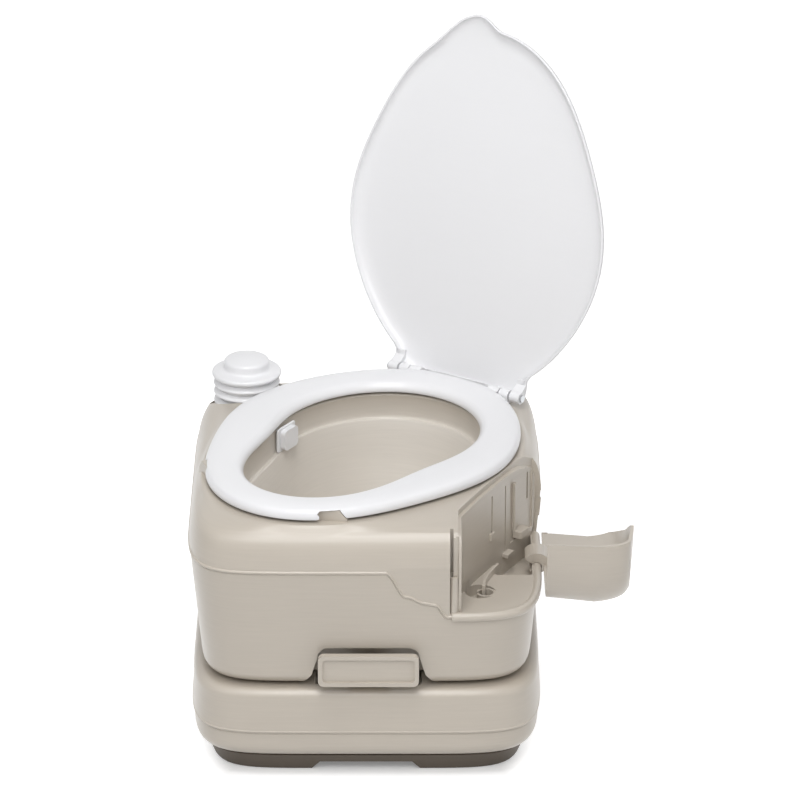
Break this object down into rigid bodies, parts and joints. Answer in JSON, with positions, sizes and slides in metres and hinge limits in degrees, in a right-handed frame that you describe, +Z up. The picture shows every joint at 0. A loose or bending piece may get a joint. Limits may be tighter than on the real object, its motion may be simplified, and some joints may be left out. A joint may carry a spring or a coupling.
{
  "type": "portable chemical toilet",
  "caption": "Two-part portable toilet: bowl with hinged seat and lid, bellows flush pump and paper niche on a waste tank with slide valve and pour spout.",
  "frame": {"origin": "centre of the footprint, on the surface that the base stands on", "axes": "+X to the user's right as they face the toilet's front, +Y from the front to the back, +Z up"},
  "size_m": [0.4627, 0.4948, 0.6864],
  "materials": {
    "body_plastic": "fine satin grain, warm beige grey",
    "white_plastic": "smooth white, soft gloss",
    "base_plastic": "dark brown grey, fine grain",
    "seal_rubber": "matt black",
    "pin_steel": "plain stainless"
  },
  "bodies": {
    "tanks": {"base_tray": "base_plastic", "waste_tank": "body_plastic", "upper_tank": "body_plastic", "valve_frame": "base_plastic", "inlet_seal": "seal_rubber", "outlet_seal": "seal_rubber", "valve_screw_1": "pin_steel", "valve_screw_2": "pin_steel", "valve_screw_3": "pin_steel", "valve_screw_4": "pin_steel", "hinge_bracket_left": "white_plastic", "hinge_bracket_right": "white_plastic", "hinge_pin_left": "pin_steel", "hinge_pin_right": "pin_steel", "hinge_screw_left_1": "pin_steel", "hinge_screw_left_2": "pin_steel", "hinge_screw_right_1": "pin_steel", "hinge_screw_right_2": "pin_steel", "nozzle_plate": "white_plastic", "nozzle_hood": "white_plastic", "pump_collar": "body_plastic", "pump_tube": "white_plastic", "pump_bellows": "white_plastic", "fill_seal": "seal_rubber", "spout_collar": "base_plastic", "vent_collar": "base_plastic", "latch_pin_left": "pin_steel", "latch_pin_right": "pin_steel"},
    "lid": {"lid": "white_plastic"},
    "seat": {"seat": "white_plastic", "seat_bumper_1": "seal_rubber", "seat_bumper_2": "seal_rubber", "seat_bumper_3": "seal_rubber", "seat_bumper_4": "seal_rubber"},
    "paper_cover": {"paper_cover": "body_plastic"},
    "valve": {"valve_blade": "body_plastic"},
    "pump": {"pump_cap": "white_plastic", "pump_rod": "white_plastic"},
    "fill_cap": {"fill_cap": "body_plastic"},
    "spout": {"spout": "base_plastic"},
    "spout_cap": {"spout_cap": "base_plastic"},
    "vent": {"vent_button": "base_plastic"},
    "latch_left": {"latch_left": "base_plastic"},
    "latch_right": {"latch_right": "base_plastic"}
  },
  "joints": [
    {"name": "lid_hinge", "type": "hinge", "parent": "tanks", "child": "lid", "pos_m": [0.0956, 0.1538, 0.291], "axis": [-0.8378, 0.546, 0], "range_deg": [-99.7, 0]},
    {"name": "seat_hinge", "type": "hinge", "parent": "tanks", "child": "seat", "pos_m": [0.0956, 0.1538, 0.291], "axis": [-0.8378, 0.546, 0], "range_deg": [0, 92]},
    {"name": "paper_cover_hinge", "type": "hinge", "parent": "tanks", "child": "paper_cover", "pos_m": [0.179, -0.073, 0.1835], "axis": [0, 1, 0], "range_deg": [-90, 0]},
    {"name": "valve_slide", "type": "slide", "parent": "tanks", "child": "valve", "axis": [0, -1, 0], "range_m": [0, 0.112]},
    {"name": "pump_press", "type": "slide", "parent": "tanks", "child": "pump", "axis": [0, 0, -1], "range_m": [0, 0.014], "stiffness_N_per_m": 600, "springref_m": -0.004, "deforming": ["pump_bellows"]},
    {"name": "fill_cap_turn", "type": "hinge", "parent": "tanks", "child": "fill_cap", "pos_m": [0.1151, 0.1745, 0.264], "axis": [0, 0, 1], "range_deg": [0, 360]},
    {"name": "spout_swivel", "type": "hinge", "parent": "tanks", "child": "spout", "pos_m": [-0.044, 0.178, 0.045], "axis": [0, 0, 1], "range_deg": [0, 90]},
    {"name": "spout_cap_turn", "type": "hinge", "parent": "spout", "child": "spout_cap", "pos_m": [0.025, 0.178, 0.072], "axis": [1, 0, 0], "range_deg": [0, 360]},
    {"name": "vent_press", "type": "slide", "parent": "tanks", "child": "vent", "axis": [0, 0, -1], "range_m": [0, 0.0035], "stiffness_N_per_m": 500, "springref_m": -0.003},
    {"name": "latch_left_swing", "type": "hinge", "parent": "tanks", "child": "latch_left", "pos_m": [-0.122, 0.2005, 0.074], "axis": [-1, 0, 0], "range_deg": [0, 60]},
    {"name": "latch_right_swing", "type": "hinge", "parent": "tanks", "child": "latch_right", "pos_m": [0.122, 0.2005, 0.074], "axis": [-1, 0, 0], "range_deg": [0, 60]}
  ]
}
